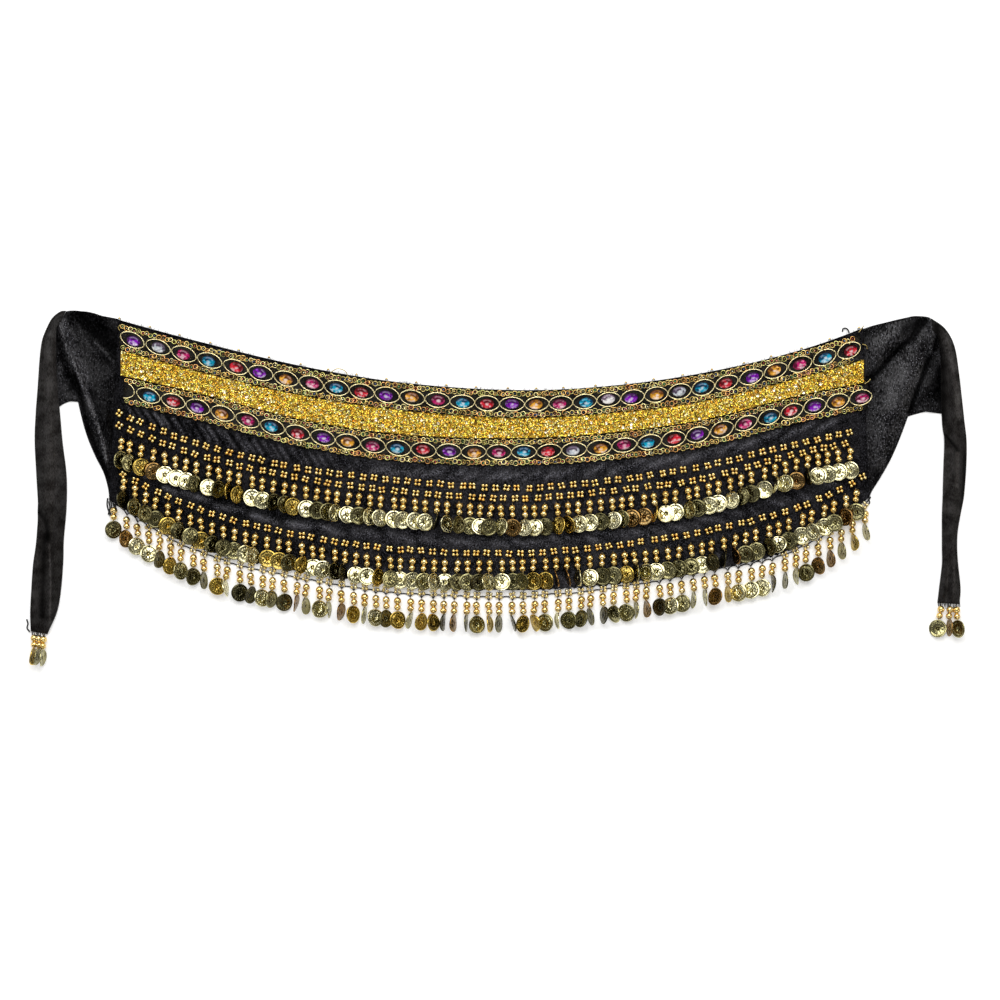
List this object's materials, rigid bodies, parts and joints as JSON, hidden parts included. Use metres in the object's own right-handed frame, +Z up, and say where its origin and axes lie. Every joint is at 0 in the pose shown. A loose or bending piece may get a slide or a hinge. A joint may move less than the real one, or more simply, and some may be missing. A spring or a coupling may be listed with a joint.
{
  "type": "belly dance belt",
  "caption": "Coin hip scarf laid flat: crescent panel with jewelled ribbons, sequin band and coin drops, and a wing and tie at each end.",
  "frame": {"origin": "centre of the laid-out belt's outline, on the surface it lies on", "axes": "+X along the belt to its right-hand tie, +Y to the waist edge, +Z up off the surface"},
  "size_m": [0.842, 0.3198, 0.0194],
  "materials": {
    "velvet": "black cloth with a fine silver sparkle",
    "satin": "brown-black satin",
    "ribbon": "black ribbon woven with gold wire",
    "sequins": "gold sequins",
    "coins": "stamped pale antique gold",
    "beads": "polished gold",
    "gems": "faceted and foil-backed, in seven colours",
    "thread": "matt black"
  },
  "bodies": {
    "root": {"panel": "velvet", "upper_trim": "ribbon", "sequin_band": "sequins", "lower_trim": "ribbon", "left_wing": "velvet", "left_web": "satin", "left_tie": "satin", "right_wing": "velvet", "right_web": "satin", "right_tie": "satin", "coin_row_1": "coins", "coin_row_2": "coins", "coin_row_3": "coins", "left_tie_end": "coins", "right_tie_end": "coins"}
  },
  "joints": []
}
